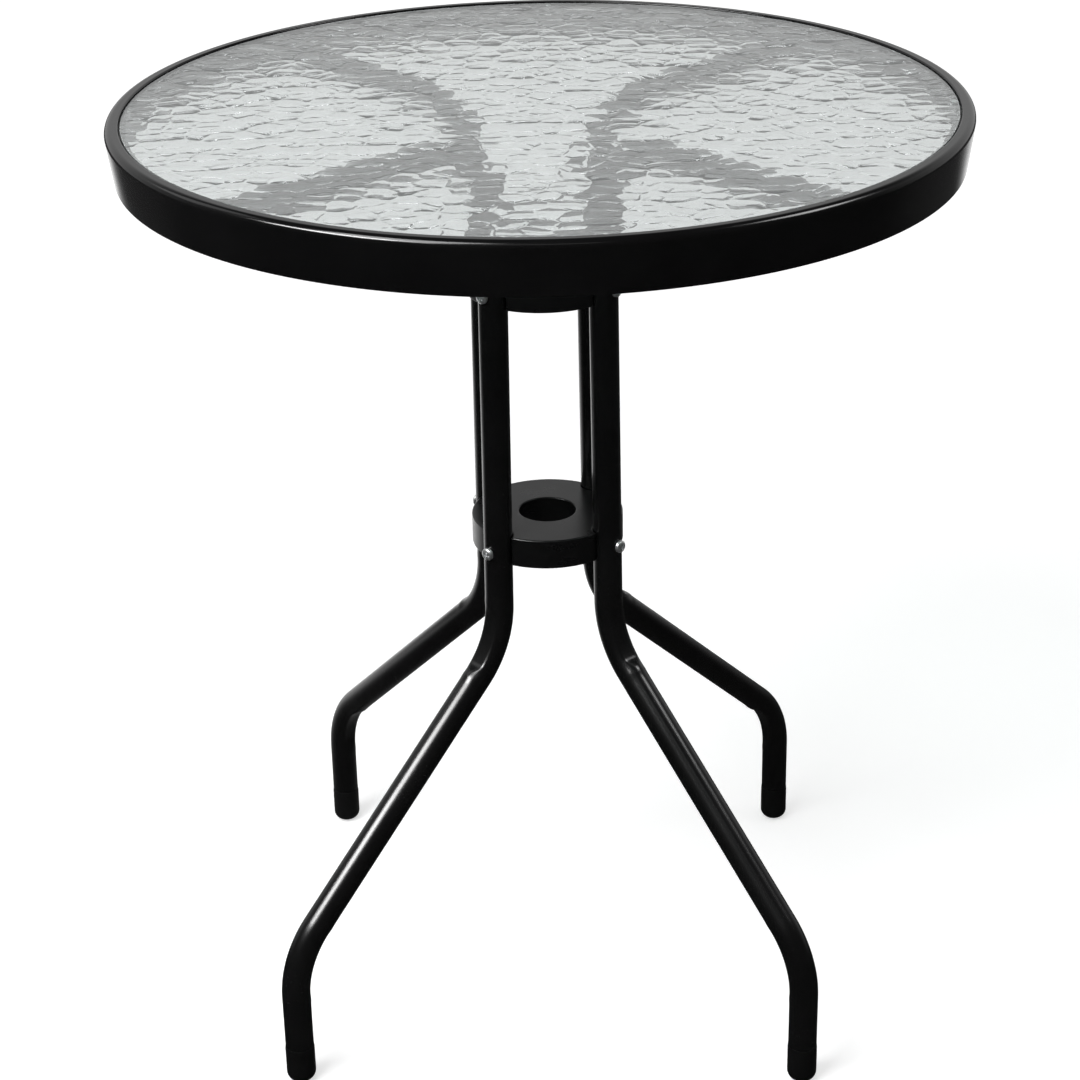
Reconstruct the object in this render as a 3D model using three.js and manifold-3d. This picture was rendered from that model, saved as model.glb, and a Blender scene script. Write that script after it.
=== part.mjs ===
// Bistro umbrella table: a round ripple-glass top in a steel rim, carried by four bent tube legs
// that two discs with an umbrella hole hold together. Millimetres, +Z up, origin on the floor
// under the middle of the top. Every leg is drawn in its own upright plane, and the four planes
// stand a quarter turn apart.

import * as THREE from 'three';
import { mergeVertices } from 'three/addons/utils/BufferGeometryUtils.js';
import Module from 'manifold-3d';

const wasm = await Module();
wasm.setup();

// Overall sizes
const tableDiameter = 600;
const tableHeight = 690;

// Clearances
const seatGap = 0.3;
const slipGap = 0.1;
const boltClearance = 0.3;
const cutOverrun = 2;

// Rim, roll-formed from sheet: skirt, rounded top face, lip round the glass, and a flat ring
// welded under the lip as a ledge for the glass
const rimSkirtHeight = 36.6;
const rimTaper = 4.2;
const rimSheet = 1.5;
const rimCornerRadius = 4.8;
const rimTopWidth = 9.7;
const rimLedgeWidth = 11;

// Glass top and the clear pads that it lies on
const glassThickness = 5;
const glassRecess = 1;
const glassEdgeClearance = 1;
const glassChamfer = 0.8;
const padDiameter = 8;
const padThickness = 0.8;

// Leg tube
const tubeDiameter = 21;
const tubeWall = 1.2;

// Leg route in its plane: distance from the table's middle, and height, of each bend's corner
const legPlaneOffset = 8.6;
const footReach = 262.3;
const kneeHeight = 103.2;
const hipReach = 56.9;
const hipHeight = 291.2;
const postTopReach = 53.7;
const armClearance = 0.4;
const kneeBendRadius = 69;
const hipBendRadius = 71;
const armBendRadius = 61;

// Foot cap
const capHeight = 30;
const capWall = 0.5;
const capFloor = 6;
const capFlatDiameter = 7;
const capLip = 0.4;

// Discs
const discDiameter = 112.4;
const discThickness = 22.1;
const discHoleDiameter = 42.2;
const discWall = 2.5;
const discPlate = 3;
const discEdgeRound = 1.2;
const lowerDiscAboveHip = 87.7;
const upperDiscBelowArms = 93.5;
const bossDepth = 4;
const bossWidth = 14;
const ribThickness = 2.2;

// Screws and nuts
const screwDiameter = 5;
const screwHeadDiameter = 9.4;
const screwHeadHeight = 3.4;
const crossWidth = 1;
const crossLength = 4.6;
const crossDepth = 1.6;
const screwPastNut = 1.8;
const nutWidth = 8;
const nutThickness = 4;

// Spigots welded inside the rim, which the arms slip over
const spigotLength = 42;
const spigotWall = 1.5;
const spigotFlange = 2.5;
const armScrewInset = 22;
const armScrewLength = 7;

// Fineness of round shapes
const rimSegments = 64;
const cornerSteps = 4;
const tubeSides = 16;
const boreSides = 10;
const bendStepAngle = THREE.MathUtils.degToRad(11.5);
const discArcSteps = 4;
const holeSegments = 24;
const capRings = 4;
const screwSides = 12;
const padSides = 10;

// Worked-out sizes
const legCount = 4;
const padCount = 8;
const quarterTurn = Math.PI / 2;
const rimRadius = tableDiameter / 2;
const rimBottom = tableHeight - rimSkirtHeight;
const rimLipRadius = rimRadius - rimTopWidth;
const ledgeInnerRadius = rimLipRadius - rimLedgeWidth;
const glassTopHeight = tableHeight - glassRecess;
const glassBottom = glassTopHeight - glassThickness;
const glassRadius = rimLipRadius - glassEdgeClearance;
const padBottom = glassBottom - seatGap - padThickness;
const ledgeTop = padBottom - seatGap;
const ledgeBottom = ledgeTop - rimSheet;
const lipBottom = ledgeTop + seatGap;
const tubeRadius = tubeDiameter / 2;
const boreRadius = tubeRadius - tubeWall;
const armHeight = ledgeBottom - armClearance - tubeRadius;
const lowerDiscTop = hipHeight + lowerDiscAboveHip;
const upperDiscTop = armHeight - upperDiscBelowArms;
const discRadius = discDiameter / 2;
const discHoleRadius = discHoleDiameter / 2;
const recessRadius = tubeRadius + seatGap;
const screwRadius = screwDiameter / 2;
const screwHoleRadius = screwRadius + boltClearance;
const capBoreRadius = tubeRadius + slipGap;
const capRadius = capBoreRadius + capWall;
const footAzimuth = Math.PI / 4;
const legPlaneAzimuth = footAzimuth - Math.atan2(legPlaneOffset, footReach);

// Inner radius of the skirt at a height
function skirtInnerRadius(height) {
  const fromCorner = (tableHeight - rimCornerRadius - height) / (rimSkirtHeight - rimCornerRadius);
  return rimRadius - rimSheet - rimTaper * fromCorner;
}

// Distance along the leg's plane at which the post's axis stands at a height
function postReachAt(height) {
  const share = (height - hipHeight) / (armHeight - hipHeight);
  return THREE.MathUtils.lerp(hipReach, postTopReach, share);
}

// Where the arm's end stops, short of the spigot's flange inside the skirt
function armEndReach() {
  const wall = Math.sqrt(skirtInnerRadius(armHeight) ** 2 - legPlaneOffset ** 2);
  return wall - seatGap - spigotFlange - seatGap;
}

// Finishes
const blackPaint = { color: 0x0c0c0d, roughness: 0.3, metalness: 0.35 };
const finishes = {
  rim: { ...blackPaint, roughness: 0.34 },
  leg: blackPaint,
  glass: { color: 0xd5dddb, roughness: 0.12, metalness: 0, transparent: true, opacity: 0.4 },
  pad: { color: 0xe6e8e8, roughness: 0.4, metalness: 0, transparent: true, opacity: 0.6 },
  cap: { color: 0x101111, roughness: 0.7, metalness: 0 },
  disc: { color: 0x141415, roughness: 0.45, metalness: 0 },
  zinc: { color: 0xb9bcbf, roughness: 0.25, metalness: 1 },
};

// A named mesh with its own material
function piece(name, geometry, finish) {
  const mesh = new THREE.Mesh(geometry, new THREE.MeshStandardMaterial(finish));
  mesh.name = name;
  return mesh;
}

// A closed geometry as a solid that can be cut and joined
function toSolid(geometry) {
  const bare = geometry.clone();
  bare.deleteAttribute('normal');
  bare.deleteAttribute('uv');
  const merged = mergeVertices(bare);
  const vertProperties = new Float32Array(merged.attributes.position.array);
  const triVerts = new Uint32Array(merged.index.array);
  return new wasm.Manifold(new wasm.Mesh({ numProp: 3, vertProperties, triVerts }));
}

// A solid as a geometry again
function toGeometry(solid) {
  const mesh = solid.getMesh();
  const geometry = new THREE.BufferGeometry();
  geometry.setAttribute('position', new THREE.BufferAttribute(new Float32Array(mesh.vertProperties), 3));
  geometry.setIndex(new THREE.BufferAttribute(new Uint32Array(mesh.triVerts), 1));
  geometry.computeVertexNormals();
  return geometry;
}

// A geometry with other geometries cut away from it
function cut(geometry, cutters) {
  let solid = toSolid(geometry);
  for (const cutter of cutters) {
    solid = solid.subtract(toSolid(cutter));
  }
  return toGeometry(solid);
}

// A profile of [radius, height] pairs turned about the Z axis
function turned(profile, segments) {
  const points = profile.map(([radius, height]) => new THREE.Vector2(radius, height));
  return new THREE.LatheGeometry(points, segments).rotateX(quarterTurn);
}

// A cylinder along X that starts at the origin
function rodAlongX(radius, length, sides) {
  return new THREE.CylinderGeometry(radius, radius, length, sides)
    .rotateZ(-quarterTurn)
    .translate(length / 2, 0, 0);
}

// A regular polygon's corners
function polygon(radius, sides) {
  const corners = [];
  for (let i = 0; i < sides; i += 1) {
    const angle = (2 * Math.PI * i) / sides;
    corners.push(new THREE.Vector2(radius * Math.cos(angle), radius * Math.sin(angle)));
  }
  return corners;
}

// Route of a bent tube: straight runs between corners, each corner rounded to its bend radius.
// Stations stand only where the route bends, so that a straight run stays one step long.
class BentRoute extends THREE.Curve {
  constructor(corners, bendRadii) {
    super();
    this.stations = [];
    const first = corners[1].clone().sub(corners[0]).normalize();
    this.addStation(corners[0], first);
    for (let i = 1; i < corners.length - 1; i += 1) {
      this.addBend(corners[i - 1], corners[i], corners[i + 1], bendRadii[i - 1]);
    }
    const end = corners[corners.length - 1];
    this.addStation(end, end.clone().sub(corners[corners.length - 2]).normalize());
  }

  addStation(point, tangent) {
    this.stations.push({ point: point.clone(), tangent: tangent.clone() });
  }

  addBend(before, corner, after, radius) {
    const incoming = corner.clone().sub(before).normalize();
    const outgoing = after.clone().sub(corner).normalize();
    const turn = incoming.angleTo(outgoing);
    const start = corner.clone().addScaledVector(incoming, -radius * Math.tan(turn / 2));
    const inward = outgoing.clone().addScaledVector(incoming, -Math.cos(turn)).normalize();
    const steps = Math.ceil(turn / bendStepAngle);
    for (let i = 0; i <= steps; i += 1) {
      const angle = (turn * i) / steps;
      const point = start.clone()
        .addScaledVector(incoming, radius * Math.sin(angle))
        .addScaledVector(inward, radius * (1 - Math.cos(angle)));
      const tangent = incoming.clone().multiplyScalar(Math.cos(angle))
        .addScaledVector(inward, Math.sin(angle));
      this.addStation(point, tangent);
    }
  }

  station(share) {
    return this.stations[Math.round(share * (this.stations.length - 1))];
  }

  getPointAt(share, target = new THREE.Vector3()) {
    return target.copy(this.station(share).point);
  }

  getTangentAt(share, target = new THREE.Vector3()) {
    return target.copy(this.station(share).tangent);
  }
}

// A hollow tube along a route
function tubeAlong(route, outerRadius, innerRadius) {
  const section = new THREE.Shape(polygon(outerRadius, tubeSides));
  section.holes.push(new THREE.Path(polygon(innerRadius, boreSides)));
  const steps = route.stations.length - 1;
  return new THREE.ExtrudeGeometry(section, { steps, extrudePath: route });
}

// Rim: one strip rolled into skirt, rounded top face and lip
function rimGeometry() {
  const profile = [[rimRadius - rimTaper, rimBottom]];
  for (let i = 0; i <= cornerSteps; i += 1) {
    const angle = (quarterTurn * i) / cornerSteps;
    profile.push([
      rimRadius - rimCornerRadius * (1 - Math.cos(angle)),
      tableHeight - rimCornerRadius * (1 - Math.sin(angle)),
    ]);
  }
  profile.push([rimLipRadius, tableHeight]);
  profile.push([rimLipRadius, lipBottom]);
  profile.push([rimLipRadius + rimSheet, lipBottom]);
  profile.push([rimLipRadius + rimSheet, tableHeight - rimSheet]);
  profile.push([rimRadius - rimCornerRadius, tableHeight - rimSheet]);
  profile.push([skirtInnerRadius(tableHeight - rimCornerRadius), tableHeight - rimCornerRadius]);
  profile.push([skirtInnerRadius(rimBottom), rimBottom]);
  profile.push(profile[0]);
  return turned(profile, rimSegments);
}

// Ledge: a flat ring inside the skirt, under the lip and the glass
function ledgeGeometry() {
  const outer = skirtInnerRadius(ledgeBottom) - seatGap;
  return turned([
    [ledgeInnerRadius, ledgeBottom],
    [outer, ledgeBottom],
    [outer, ledgeTop],
    [ledgeInnerRadius, ledgeTop],
    [ledgeInnerRadius, ledgeBottom],
  ], rimSegments);
}

// Glass disc with ground edges
function glassGeometry() {
  return turned([
    [0, glassBottom],
    [glassRadius - glassChamfer, glassBottom],
    [glassRadius, glassBottom + glassChamfer],
    [glassRadius, glassTopHeight - glassChamfer],
    [glassRadius - glassChamfer, glassTopHeight],
    [0, glassTopHeight],
  ], rimSegments);
}

// Clear pad between ledge and glass
function padGeometry() {
  const radius = padDiameter / 2;
  return turned([[0, 0], [radius, 0], [radius, padThickness], [0, padThickness]], padSides);
}

// Pan-head screw along -X: head on the +X side of the origin, shank on the other
function screwGeometry(shankLength) {
  const headRadius = screwHeadDiameter / 2;
  const shoulder = screwHeadHeight / 2;
  const tip = screwRadius / 2;
  const profile = [
    [0, -shankLength],
    [tip, -shankLength],
    [screwRadius, -shankLength + tip],
    [screwRadius, 0],
    [headRadius, 0],
    [headRadius, shoulder],
  ];
  for (const angle of [Math.PI / 6, Math.PI / 3]) {
    profile.push([headRadius * Math.cos(angle), shoulder + shoulder * Math.sin(angle)]);
  }
  profile.push([0, screwHeadHeight]);
  const body = turned(profile, screwSides);
  const slotHeight = crossDepth + cutOverrun;
  const slotMiddle = screwHeadHeight - crossDepth + slotHeight / 2;
  const slots = [
    new THREE.BoxGeometry(crossLength, crossWidth, slotHeight).translate(0, 0, slotMiddle),
    new THREE.BoxGeometry(crossWidth, crossLength, slotHeight).translate(0, 0, slotMiddle),
  ];
  return cut(body, slots).rotateY(quarterTurn);
}

// Hexagon nut along X, between the origin and -X
function nutGeometry() {
  const cornerRadius = nutWidth / 2 / Math.cos(Math.PI / 6);
  const section = new THREE.Shape(polygon(cornerRadius, 6));
  section.holes.push(new THREE.Path(polygon(screwHoleRadius, boreSides)));
  return new THREE.ExtrudeGeometry(section, { depth: nutThickness, bevelEnabled: false })
    .rotateY(-quarterTurn);
}

// How a disc holds its posts: their distance from the middle, their turn from the leg's plane,
// and the flat of the boss that the nut bears on
function discSeat(discTop) {
  const middle = discTop - discThickness / 2;
  const reach = postReachAt(middle);
  const postDistance = Math.hypot(reach, legPlaneOffset);
  const postTurn = Math.atan2(legPlaneOffset, reach);
  const nutFace = postDistance - recessRadius - bossDepth;
  return { discTop, middle, reach, postDistance, postTurn, nutFace };
}

// Outline of a disc with a recess for each post
function discOutline(seat) {
  const { postDistance } = seat;
  const cosine = (discRadius ** 2 + postDistance ** 2 - recessRadius ** 2)
    / (2 * discRadius * postDistance);
  const halfNotch = Math.acos(cosine);
  const recessStart = Math.atan2(
    discRadius * Math.sin(halfNotch),
    discRadius * cosine - postDistance,
  );
  const outline = new THREE.Shape();
  for (let i = 0; i < legCount; i += 1) {
    const here = i * quarterTurn;
    const next = here + quarterTurn;
    outline.absarc(0, 0, discRadius, here + halfNotch, next - halfNotch, false);
    outline.absarc(
      postDistance * Math.cos(next),
      postDistance * Math.sin(next),
      recessRadius,
      next - recessStart,
      next + recessStart,
      true,
    );
  }
  return outline;
}

// Disc: top plate, outer wall that follows the recesses, collar round the hole, ribs and bosses,
// open underneath. The post recesses stand on the X and Y axes, the disc's middle at height 0.
function discGeometry(seat) {
  const half = discThickness / 2;
  const outline = discOutline(seat);
  outline.holes.push(new THREE.Path(polygon(discHoleRadius, holeSegments)));
  const body = new THREE.ExtrudeGeometry(outline, {
    depth: discThickness - 2 * discEdgeRound,
    bevelThickness: discEdgeRound,
    bevelSize: discEdgeRound,
    bevelOffset: -discEdgeRound,
    bevelSegments: 2,
    curveSegments: discArcSteps,
  }).translate(0, 0, discEdgeRound - half);

  const pocketDepth = discThickness - discPlate;
  const pocketBottom = -half - cutOverrun;
  const pocketHeight = pocketDepth + cutOverrun;
  const upright = (radius, sides) => new THREE.CylinderGeometry(radius, radius, pocketHeight, sides)
    .rotateX(quarterTurn)
    .translate(0, 0, pocketBottom + pocketHeight / 2);
  const block = (length, width) => new THREE.BoxGeometry(length, width, pocketHeight)
    .translate(0, 0, pocketBottom + pocketHeight / 2);

  const kept = [upright(discHoleRadius + discWall, holeSegments)];
  const holes = [];
  for (let i = 0; i < legCount; i += 1) {
    const angle = i * quarterTurn;
    kept.push(upright(recessRadius + discWall, tubeSides)
      .translate(seat.postDistance, 0, 0)
      .rotateZ(angle));
    const bossLength = seat.postDistance - seat.nutFace;
    kept.push(block(bossLength, bossWidth)
      .translate(seat.nutFace + bossLength / 2, 0, 0)
      .rotateZ(angle));
    kept.push(block(discRadius, ribThickness)
      .translate(discRadius / 2, 0, 0)
      .rotateZ(angle + quarterTurn / 2));
    holes.push(rodAlongX(screwHoleRadius, discRadius - discHoleRadius - discWall, boreSides)
      .translate(discHoleRadius + discWall + cutOverrun, 0, 0)
      .rotateZ(angle));
  }
  let pocket = toSolid(upright(discRadius - discWall, rimSegments));
  for (const shape of kept) {
    pocket = pocket.subtract(toSolid(shape));
  }
  let disc = toSolid(body).subtract(pocket);
  for (const hole of holes) {
    disc = disc.subtract(toSolid(hole));
  }
  return toGeometry(disc);
}

// The leg's corners in its plane, from the floor of its cap to the end of its arm
function legCorners() {
  const at = (reach, height) => new THREE.Vector3(reach, legPlaneOffset, height);
  return [
    at(footReach, capFloor + seatGap),
    at(footReach, kneeHeight),
    at(hipReach, hipHeight),
    at(postTopReach, armHeight),
    at(armEndReach(), armHeight),
  ];
}

// Moves a geometry drawn along -X to an arm's end
function atArmEnd(geometry) {
  return geometry.translate(armEndReach(), legPlaneOffset, armHeight);
}

// Hole for the screw that locks an arm on its spigot: it enters from below
function armScrewHole() {
  return rodAlongX(screwHoleRadius, tubeRadius + cutOverrun, boreSides)
    .rotateY(quarterTurn)
    .translate(-armScrewInset, 0, 0);
}

// Leg: one bent tube from foot to arm, drilled for the disc screws and the arm screw
function legGeometry(seats) {
  const route = new BentRoute(legCorners(), [kneeBendRadius, hipBendRadius, armBendRadius]);
  const tube = tubeAlong(route, tubeRadius, boreRadius);
  const drillLength = 2 * (tubeRadius + cutOverrun);
  const drills = seats.map((seat) => rodAlongX(screwHoleRadius, drillLength, boreSides)
    .translate(seat.postDistance - drillLength / 2, 0, 0)
    .rotateZ(seat.postTurn)
    .translate(0, 0, seat.middle));
  drills.push(atArmEnd(armScrewHole()));
  return cut(tube, drills);
}

// Spigot: a short tube on a flange whose far face follows the skirt
function spigotGeometry() {
  const stubRadius = boreRadius * Math.cos(Math.PI / boreSides) - slipGap;
  const stubBore = stubRadius - spigotWall;
  const flangeOuter = spigotFlange + rimTaper + cutOverrun;
  const body = toSolid(turned([
    [0, -seatGap],
    [stubBore, -seatGap],
    [stubBore, spigotLength - seatGap],
    [stubRadius, spigotLength - seatGap],
    [stubRadius, -seatGap],
    [tubeRadius, -seatGap],
    [tubeRadius, -seatGap - flangeOuter],
    [0, -seatGap - flangeOuter],
  ].reverse(), tubeSides).rotateZ(quarterTurn).rotateY(-quarterTurn));
  const drilled = toGeometry(body.subtract(toSolid(armScrewHole())));
  const skirtFace = (height) => skirtInnerRadius(height) - seatGap;
  const top = tableHeight - rimCornerRadius;
  const outside = rimRadius + flangeOuter;
  const beyondSkirt = turned([
    [skirtFace(rimBottom), rimBottom],
    [outside, rimBottom],
    [outside, top],
    [skirtFace(top), top],
    [skirtFace(rimBottom), rimBottom],
  ], rimSegments).rotateZ(-legPlaneAzimuth);
  return cut(atArmEnd(drilled), [beyondSkirt]);
}

// Foot cap: a domed sleeve with a small flat to stand on
function capGeometry() {
  const flat = capFlatDiameter / 2;
  const profile = [[0, 0], [flat, 0]];
  for (let i = 1; i <= capRings; i += 1) {
    const angle = (quarterTurn * i) / capRings;
    profile.push([
      flat + (capRadius - flat) * Math.sin(angle),
      (capRadius - flat) * (1 - Math.cos(angle)),
    ]);
  }
  profile.push([capRadius, capHeight - capLip]);
  profile.push([capRadius - capLip, capHeight]);
  profile.push([capBoreRadius, capHeight]);
  profile.push([capBoreRadius, capFloor]);
  profile.push([0, capFloor]);
  return turned(profile, tubeSides);
}

// The screw and nut that hold a post in a disc's recess, in a group turned to face the post
function discFasteners(label, seat, place) {
  const group = new THREE.Group();
  group.rotation.z = seat.postTurn;
  group.position.z = seat.middle;
  const headSeat = seat.postDistance + tubeRadius + seatGap;
  const nutSeat = seat.nutFace - seatGap;
  const shankLength = headSeat - nutSeat + nutThickness + screwPastNut;
  const screw = piece(`${label}_screw_${place}`, screwGeometry(shankLength), finishes.zinc);
  screw.position.x = headSeat;
  const nut = piece(`${label}_nut_${place}`, nutGeometry(), finishes.zinc);
  nut.position.x = nutSeat;
  group.add(screw, nut);
  return group;
}

// The screw that locks an arm on its spigot
function armScrew(place) {
  const mesh = piece(`arm_screw_${place}`, screwGeometry(armScrewLength), finishes.zinc);
  mesh.rotation.y = quarterTurn;
  mesh.position.set(
    armEndReach() - armScrewInset,
    legPlaneOffset,
    armHeight - tubeRadius - seatGap,
  );
  return mesh;
}

// Everything that stands in one leg's plane
function quarter(place, seats) {
  const group = new THREE.Group();
  group.add(piece(`leg_${place}`, legGeometry(Object.values(seats)), finishes.leg));
  const cap = piece(`foot_cap_${place}`, capGeometry(), finishes.cap);
  cap.position.set(footReach, legPlaneOffset, 0);
  group.add(cap);
  group.add(piece(`rim_spigot_${place}`, spigotGeometry(), finishes.rim));
  group.add(armScrew(place));
  for (const [label, seat] of Object.entries(seats)) {
    group.add(discFasteners(label, seat, place));
  }
  return group;
}

const table = new THREE.Group();
table.name = 'umbrella_table';

table.add(piece('rim_frame', rimGeometry(), finishes.rim));
table.add(piece('ledge_ring', ledgeGeometry(), finishes.rim));
table.add(piece('glass_top', glassGeometry(), finishes.glass));
for (let i = 0; i < padCount; i += 1) {
  const angle = (2 * Math.PI * i) / padCount;
  const pad = piece(`glass_pad_${i + 1}`, padGeometry(), finishes.pad);
  const radius = (ledgeInnerRadius + rimLipRadius) / 2;
  pad.position.set(radius * Math.cos(angle), radius * Math.sin(angle), padBottom);
  table.add(pad);
}

const seats = {
  lower_disc: discSeat(lowerDiscTop),
  upper_disc: discSeat(upperDiscTop),
};
for (const [name, seat] of Object.entries(seats)) {
  const disc = piece(name, discGeometry(seat), finishes.disc);
  disc.position.z = seat.middle;
  disc.rotation.z = legPlaneAzimuth + seat.postTurn;
  table.add(disc);
}

const places = ['rear_right', 'rear_left', 'front_left', 'front_right'];
places.forEach((place, i) => {
  const group = quarter(place, seats);
  group.rotation.z = legPlaneAzimuth + i * quarterTurn;
  table.add(group);
});

export default table;
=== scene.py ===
"""Bistro umbrella table: the dressed model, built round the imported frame.

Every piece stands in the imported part's own frame, with +Z up, the floor at height 0 and the
middle of the round top over the origin. Sizes are written in millimetres, as in the part, and
become metres when a mesh is made.
"""

import logging
import math
from collections.abc import Callable, Iterable, Mapping, Sequence
from dataclasses import dataclass
from enum import Enum

import bpy
import numpy as np
from bpy.types import ID, Material, Mesh, Node, NodeSocket, NodeTree, Object
from mathutils import Matrix, Vector


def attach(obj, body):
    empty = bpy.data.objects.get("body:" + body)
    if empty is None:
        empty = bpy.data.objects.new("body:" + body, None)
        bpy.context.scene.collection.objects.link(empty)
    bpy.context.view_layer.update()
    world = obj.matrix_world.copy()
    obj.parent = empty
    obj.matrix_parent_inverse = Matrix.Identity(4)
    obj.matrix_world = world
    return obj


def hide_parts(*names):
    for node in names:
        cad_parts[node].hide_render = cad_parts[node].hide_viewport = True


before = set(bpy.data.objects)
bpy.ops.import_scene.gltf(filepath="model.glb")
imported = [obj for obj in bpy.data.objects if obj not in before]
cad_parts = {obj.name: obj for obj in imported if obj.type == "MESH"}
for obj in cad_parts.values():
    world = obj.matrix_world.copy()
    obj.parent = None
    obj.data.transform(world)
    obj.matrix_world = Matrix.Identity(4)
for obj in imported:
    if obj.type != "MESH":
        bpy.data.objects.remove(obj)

MM = 0.001
TURN = 2 * math.pi
QUARTER = TURN / 4
BODY = "root"
# How bright the white surroundings are through the glass, beside the bare view.
THROUGH_GLASS = 0.585

log = logging.getLogger("umbrella_table")

Point = tuple[float, float]
Colour = tuple[float, float, float]
Loops = list[np.ndarray]


# --------------------------------------------------------------------------- shared sizes


class Place(Enum):
    """The four places round the table, each with the quarter turns that lead to it."""

    REAR_RIGHT = 0
    REAR_LEFT = 1
    FRONT_LEFT = 2
    FRONT_RIGHT = 3

    @property
    def label(self) -> str:
        """The place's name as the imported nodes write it."""
        return self.name.lower()


class Level(Enum):
    """The two discs."""

    LOWER = "lower_disc"
    UPPER = "upper_disc"


@dataclass(frozen=True)
class Seat:
    """How a disc holds its posts: its mid height, their distance out and turn, in millimetres."""

    middle: float
    distance: float
    turn: float


@dataclass(frozen=True)
class TableSizes:
    """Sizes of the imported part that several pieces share, in millimetres."""

    rim_radius: float = 300.0
    height: float = 690.0
    skirt_height: float = 36.6
    skirt_taper: float = 4.2
    sheet: float = 1.5
    corner_radius: float = 4.8
    top_width: float = 9.7
    # How far the ledge shows past the lip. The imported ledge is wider.
    seen_ledge: float = 5.0
    ledge_bottom: float = 681.1
    glass_top: float = 689.0
    glass_bottom: float = 684.0
    glass_radius: float = 289.3
    gap: float = 0.3
    tube_radius: float = 10.5
    plane_offset: float = 8.6
    foot_reach: float = 262.3
    knee_height: float = 103.2
    hip_reach: float = 56.9
    hip_height: float = 291.2
    post_top_reach: float = 53.7
    arm_height: float = 670.2
    arm_end_reach: float = 293.3
    disc_thickness: float = 22.1
    lower_disc_top: float = 378.9
    upper_disc_top: float = 576.7
    boss_depth: float = 4.0

    @property
    def plane_azimuth(self) -> float:
        """Azimuth of the first leg's plane, which puts the feet on the diagonals."""
        return math.pi / 4 - math.atan2(self.plane_offset, self.foot_reach)

    @property
    def recess(self) -> float:
        """Radius of a disc's recess for a post."""
        return self.tube_radius + self.gap

    def azimuth(self, place: Place) -> float:
        """Azimuth of a place's leg plane."""
        return self.plane_azimuth + place.value * QUARTER

    def skirt_inner_radius(self, height: float | np.ndarray) -> float | np.ndarray:
        """Inner radius of the rim's skirt at a height."""
        straight = self.skirt_height - self.corner_radius
        share = (self.height - self.corner_radius - height) / straight
        return self.rim_radius - self.sheet - self.skirt_taper * share

    def seat(self, level: Level) -> Seat:
        """How a disc holds its posts."""
        top = self.lower_disc_top if level is Level.LOWER else self.upper_disc_top
        middle = top - self.disc_thickness / 2
        share = (middle - self.hip_height) / (self.arm_height - self.hip_height)
        reach = self.hip_reach + (self.post_top_reach - self.hip_reach) * share
        offset = self.plane_offset
        return Seat(middle, math.hypot(reach, offset), math.atan2(offset, reach))


SIZES = TableSizes()


# --------------------------------------------------------------------------- node trees


def math_method(operation: str, reflected: bool = False) -> Callable[["Value", "Value | float"], "Value"]:
    """A method that joins a value and another by a Math node, the other first if reflected."""

    def method(this: "Value", other: "Value | float") -> "Value":
        """Adds the node."""
        pair = (other, this) if reflected else (this, other)
        return this.graph.math(operation, *pair)

    return method


class Value:
    """A number socket that Python's operators extend with Math nodes."""

    def __init__(self, graph: "Graph", socket: NodeSocket) -> None:
        self.graph = graph
        self.socket = socket

    __add__ = math_method("ADD")
    __radd__ = math_method("ADD", reflected=True)
    __sub__ = math_method("SUBTRACT")
    __rsub__ = math_method("SUBTRACT", reflected=True)
    __mul__ = math_method("MULTIPLY")
    __rmul__ = math_method("MULTIPLY", reflected=True)
    __truediv__ = math_method("DIVIDE")
    __rtruediv__ = math_method("DIVIDE", reflected=True)
    at_least = math_method("MAXIMUM")

    def __neg__(self) -> "Value":
        """This with its sign changed."""
        return self * -1.0

    def ramp(self, start: float, end: float, low: float = 0.0, high: float = 1.0) -> "Value":
        """A smooth step from low at start to high at end.

        Args:
            start: where this value begins to rise.
            end: where it is done.
            low: what comes out below start.
            high: what comes out above end.

        Returns:
            The stepped value.
        """
        sockets = {"Value": self, "From Min": start, "From Max": end, "To Min": low, "To Max": high}
        made = self.graph.node("ShaderNodeMapRange", sockets, interpolation_type="SMOOTHSTEP")
        return self.graph.value(made)


Feed = Value | NodeSocket | Node | float | int | bool | Sequence[float]


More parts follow.
